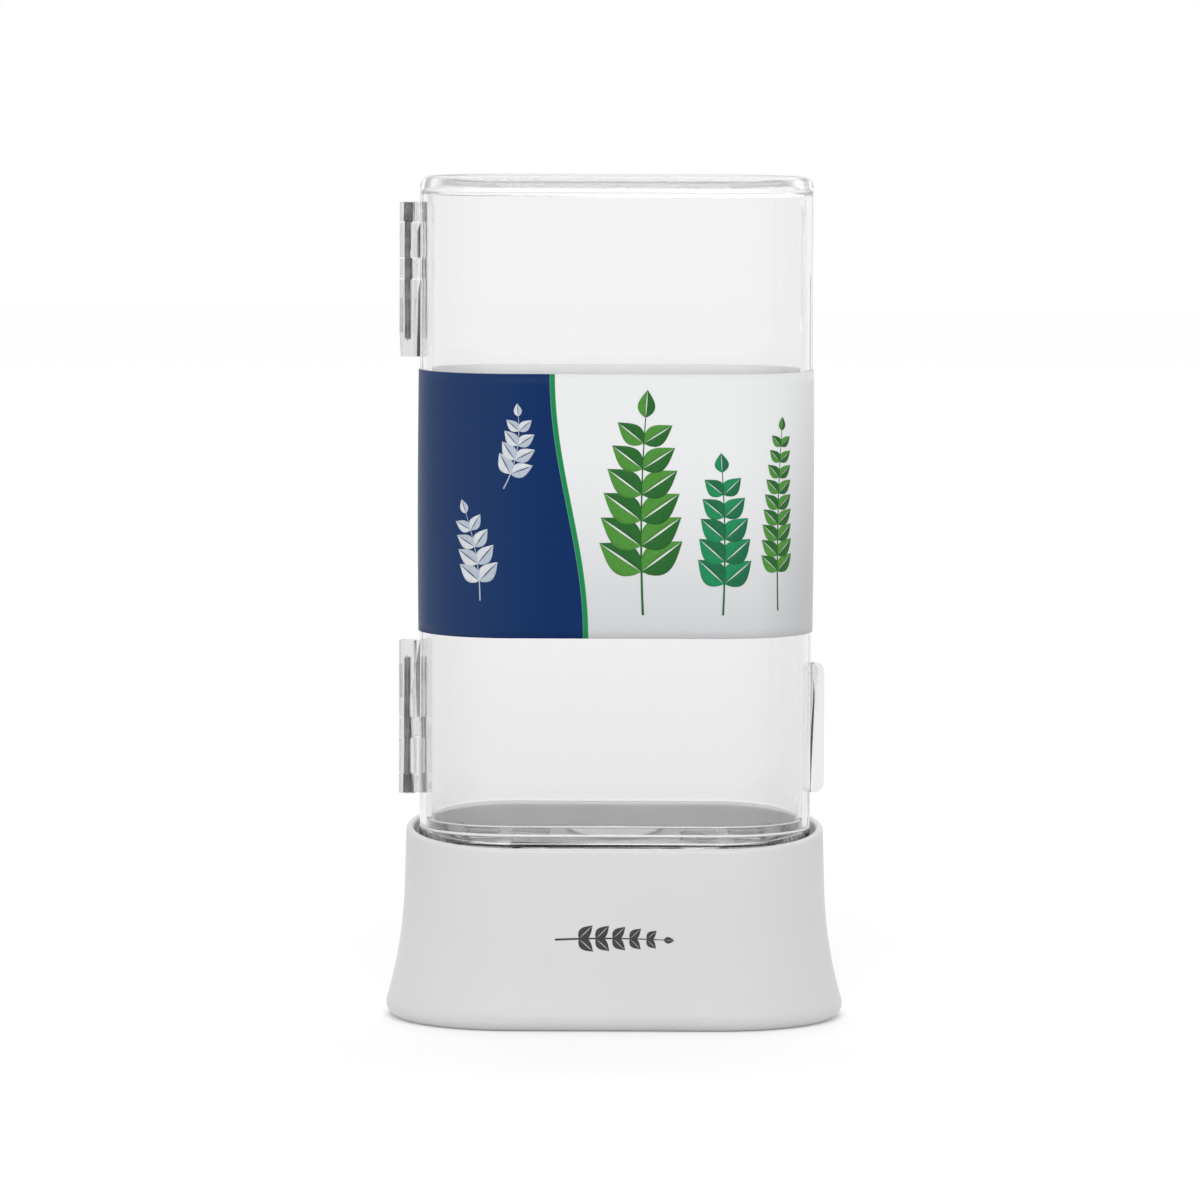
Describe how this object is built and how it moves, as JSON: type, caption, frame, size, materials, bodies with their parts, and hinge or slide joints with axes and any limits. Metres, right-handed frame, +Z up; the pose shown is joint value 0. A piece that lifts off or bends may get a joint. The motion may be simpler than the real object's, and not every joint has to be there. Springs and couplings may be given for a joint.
{
  "type": "herb keeper",
  "caption": "Tall clear case with a hinged front door and a drain tray, standing in a white flared water base, for keeping fresh herbs upright in a refrigerator door.",
  "frame": {"origin": "on the floor under the middle of the base", "axes": "+X to the right with the door facing the viewer and the hinges on the left, +Y to the back, +Z up"},
  "size_m": [0.136, 0.076, 0.25],
  "materials": {
    "base_plastic": "white moulded plastic with a soft satin sheen",
    "clear_plastic": "clear moulded plastic, polished",
    "tray_plastic": "clear moulded plastic",
    "pin_steel": "plain steel pin with a knurled head",
    "printed_card": null
  },
  "bodies": {
    "base": {"water_base": "base_plastic"},
    "case": {"back_shell": "clear_plastic", "upper_hinge_pin": "pin_steel", "lower_hinge_pin": "pin_steel", "card_back": "printed_card"},
    "door": {"door": "clear_plastic", "card_front": "printed_card"},
    "tray": {"drain_tray": "tray_plastic", "tray_knob": "tray_plastic"}
  },
  "joints": [
    {"name": "case_lift", "type": "slide", "parent": "base", "child": "case", "axis": [0, 0, 1], "range_m": [0, 0.04]},
    {"name": "door_hinge", "type": "hinge", "parent": "case", "child": "door", "pos_m": [-0.0617, 0, 0.15], "axis": [0, 0, -1], "range_deg": [0, 170]},
    {"name": "tray_lift", "type": "slide", "parent": "case", "child": "tray", "axis": [0, 0, 1], "range_m": [0, 0.12]}
  ]
}
